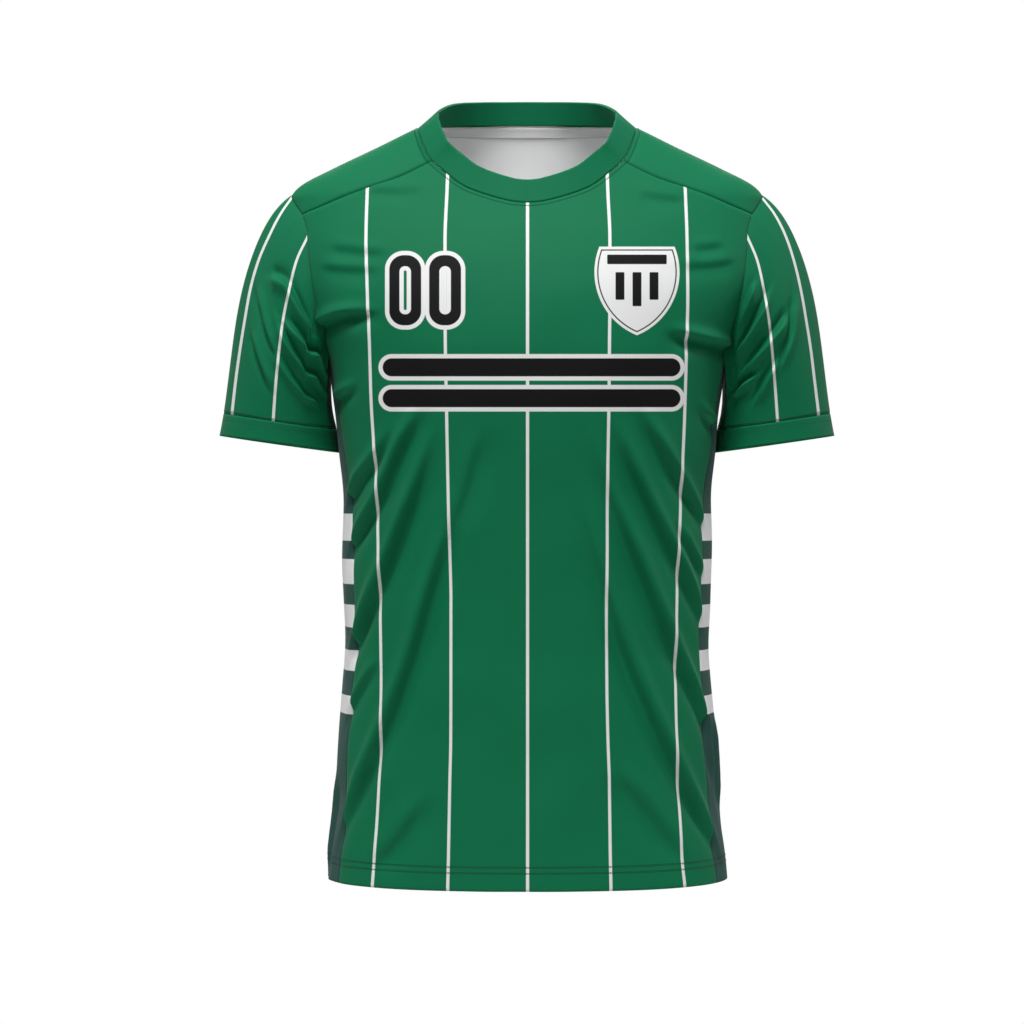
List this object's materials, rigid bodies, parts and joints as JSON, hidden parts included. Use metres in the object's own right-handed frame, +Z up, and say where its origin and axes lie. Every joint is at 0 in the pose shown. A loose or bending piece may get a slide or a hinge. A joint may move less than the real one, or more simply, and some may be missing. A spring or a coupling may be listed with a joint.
{
  "type": "football jersey",
  "caption": "Short-sleeved pinstriped football jersey in the shape of being worn, hollow, with a crew neck, set-in sleeves, side panels and open hem and cuffs.",
  "frame": {"origin": "midway between the tops of the two shoulder seams at the neck, where the wearer's shoulders hold it", "axes": "+Z up, +X to the wearer's left, -Y out of the front"},
  "size_m": [0.5808, 0.236, 0.7349],
  "materials": {
    "front_panel_cloth": "matte knitted polyester",
    "back_panel_cloth": "matte knitted polyester",
    "side_panel_left_cloth": "matte knitted polyester",
    "side_panel_right_cloth": "matte knitted polyester",
    "sleeve_left_cloth": "matte knitted polyester",
    "sleeve_right_cloth": "matte knitted polyester",
    "cuff_left_cloth": "matte knitted polyester",
    "cuff_right_cloth": "matte knitted polyester",
    "collar_cloth": "matte knitted polyester",
    "neck_tape_cloth": "matte knitted polyester"
  },
  "bodies": {
    "root": {"front_panel": "front_panel_cloth", "back_panel": "back_panel_cloth", "side_panel_left": "side_panel_left_cloth", "side_panel_right": "side_panel_right_cloth", "sleeve_left": "sleeve_left_cloth", "sleeve_right": "sleeve_right_cloth", "cuff_left": "cuff_left_cloth", "cuff_right": "cuff_right_cloth", "collar": "collar_cloth", "neck_tape": "neck_tape_cloth"}
  },
  "joints": []
}
